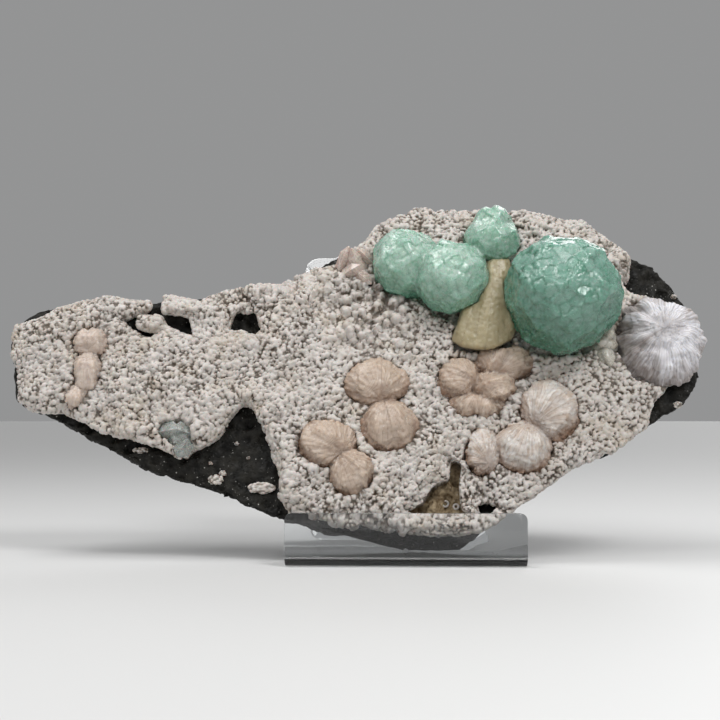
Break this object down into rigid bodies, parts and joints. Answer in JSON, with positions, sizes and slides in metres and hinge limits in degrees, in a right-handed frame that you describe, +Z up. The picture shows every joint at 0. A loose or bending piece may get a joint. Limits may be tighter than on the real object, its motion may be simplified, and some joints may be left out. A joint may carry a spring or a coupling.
{
  "type": "apophyllite cluster on a stand",
  "caption": "Green ball-shaped apophyllite and peach stilbite sprays on a white crust over dark basalt, leaning in a bent clear acrylic stand.",
  "frame": {"origin": "middle of the flat underside of the stand's shelf, on the table", "axes": "+X along the specimen's length to the viewer's right, +Y from the viewer through the specimen to the rear leg, +Z up"},
  "size_m": [0.2832, 0.1153, 0.1422],
  "materials": {
    "basalt": "rough porous dark rock",
    "chalcedony_crust": "knobbly white crust with brown in its hollows",
    "apophyllite_green": "translucent mint green, sparkling",
    "apophyllite_colourless": "translucent grey-white, glassy",
    "stilbite_peach": "pearly peach, finely ribbed",
    "stilbite_yellow": "pearly pale yellow",
    "white_needles": "silky white fibres",
    "clear_acrylic": "clear, polished edges"
  },
  "bodies": {
    "root": {"basalt_matrix": "basalt", "chalcedony_crust": "chalcedony_crust", "apophyllite_ball_large": "apophyllite_green", "apophyllite_balls_left": "apophyllite_green", "apophyllite_colourless": "apophyllite_colourless", "scolecite_dome": "white_needles", "stilbite_bowtie_centre": "stilbite_peach", "stilbite_bowtie_left_end": "stilbite_peach", "stilbite_bowtie_lower_left": "stilbite_peach", "stilbite_crystals_right": "white_needles", "stilbite_crystals_top": "stilbite_peach", "stilbite_group_centre_right": "stilbite_peach", "stilbite_group_lower_right": "stilbite_peach", "stilbite_stalk_yellow": "stilbite_yellow", "acrylic_stand": "clear_acrylic"}
  },
  "joints": []
}
